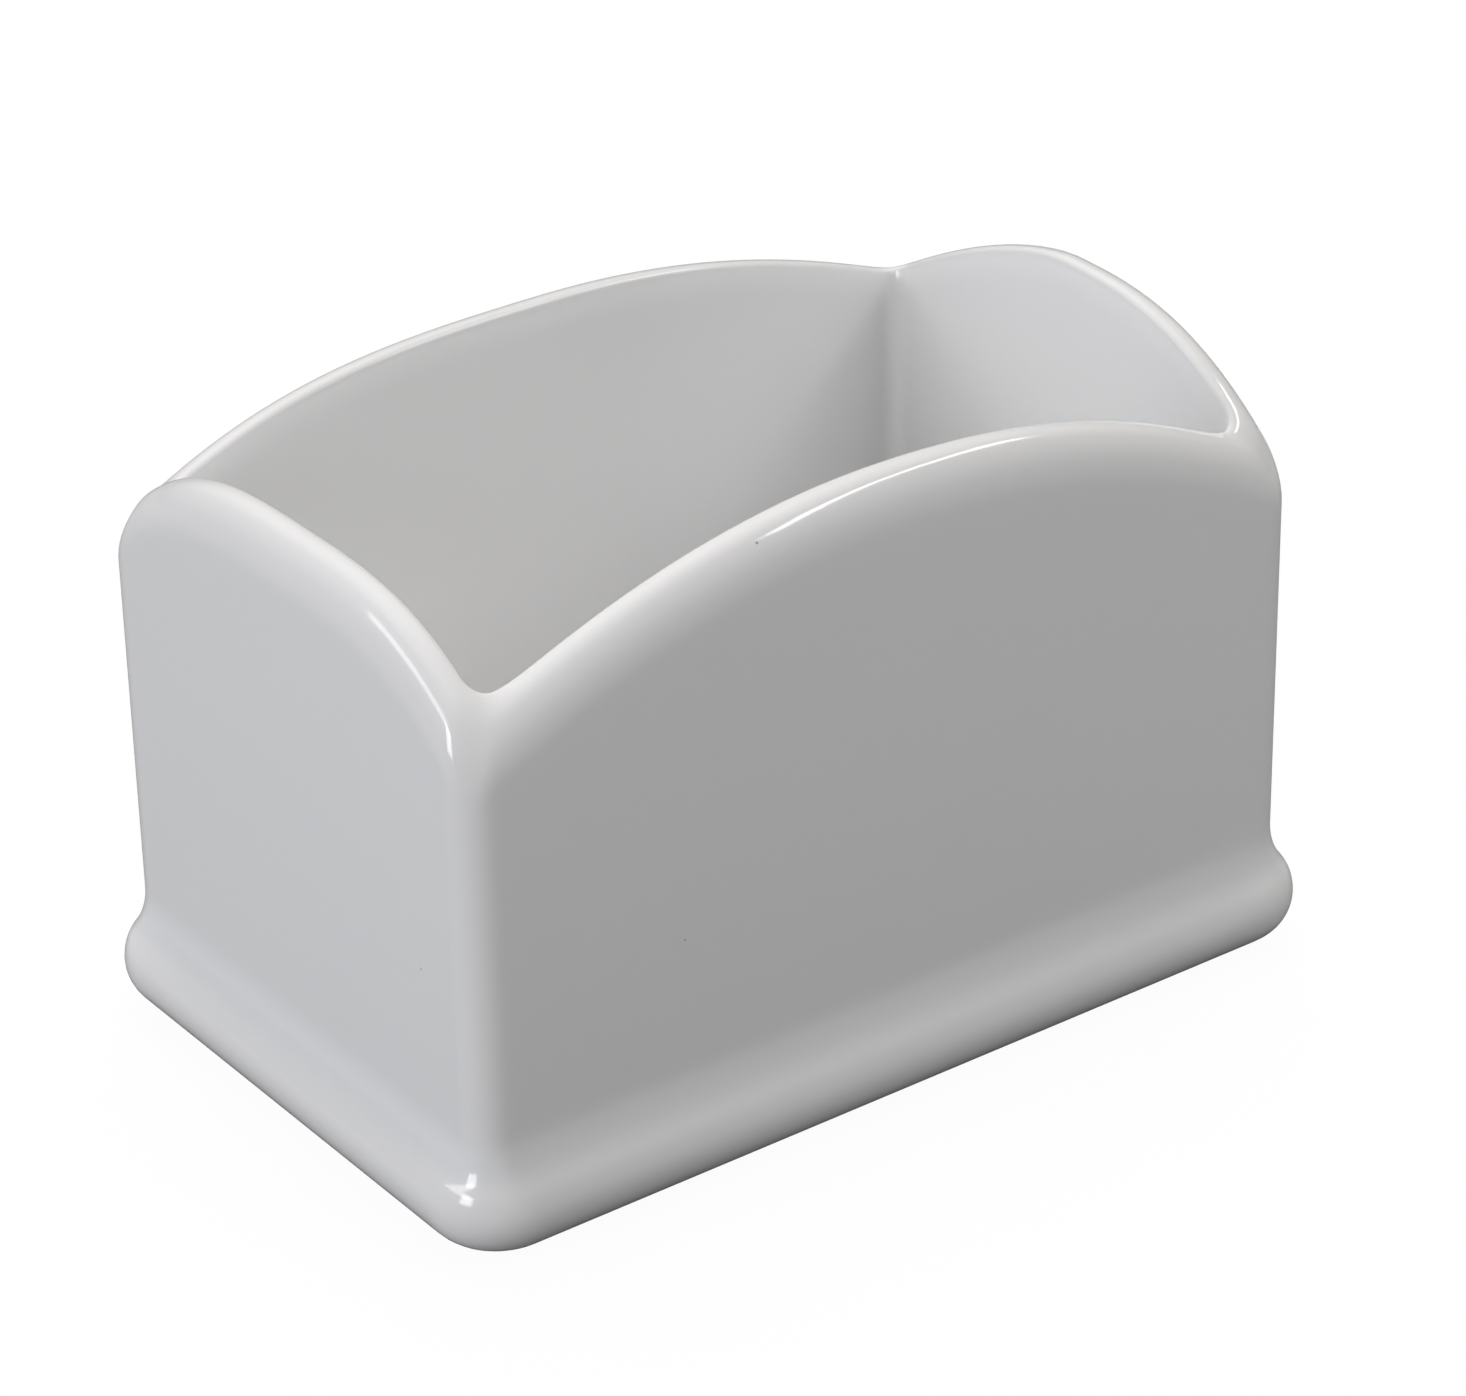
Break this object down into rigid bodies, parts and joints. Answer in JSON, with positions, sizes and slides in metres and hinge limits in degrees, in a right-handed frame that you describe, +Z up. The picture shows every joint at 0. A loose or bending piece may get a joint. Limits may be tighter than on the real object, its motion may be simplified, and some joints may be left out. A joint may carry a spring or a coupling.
{
  "type": "sugar packet holder",
  "caption": "Open rectangular porcelain holder for sugar packets, with arched walls, soft corner valleys and a moulded plinth.",
  "frame": {"origin": "on the table, under the middle of the foot ring", "axes": "+X along the long walls, -Y towards the front wall, +Z up"},
  "size_m": [0.1086, 0.0714, 0.0698],
  "materials": {
    "porcelain": "fired white porcelain body, matt, under the glaze",
    "bare_foot": "bare fired porcelain, ground flat, slightly rough",
    "glaze": "clear gloss glaze over white porcelain"
  },
  "bodies": {
    "root": {"front_wall": "porcelain", "right_end_wall": "porcelain", "back_wall": "porcelain", "left_end_wall": "porcelain", "base": "porcelain", "foot_ring": "bare_foot", "glaze_coat": "glaze"}
  },
  "joints": []
}
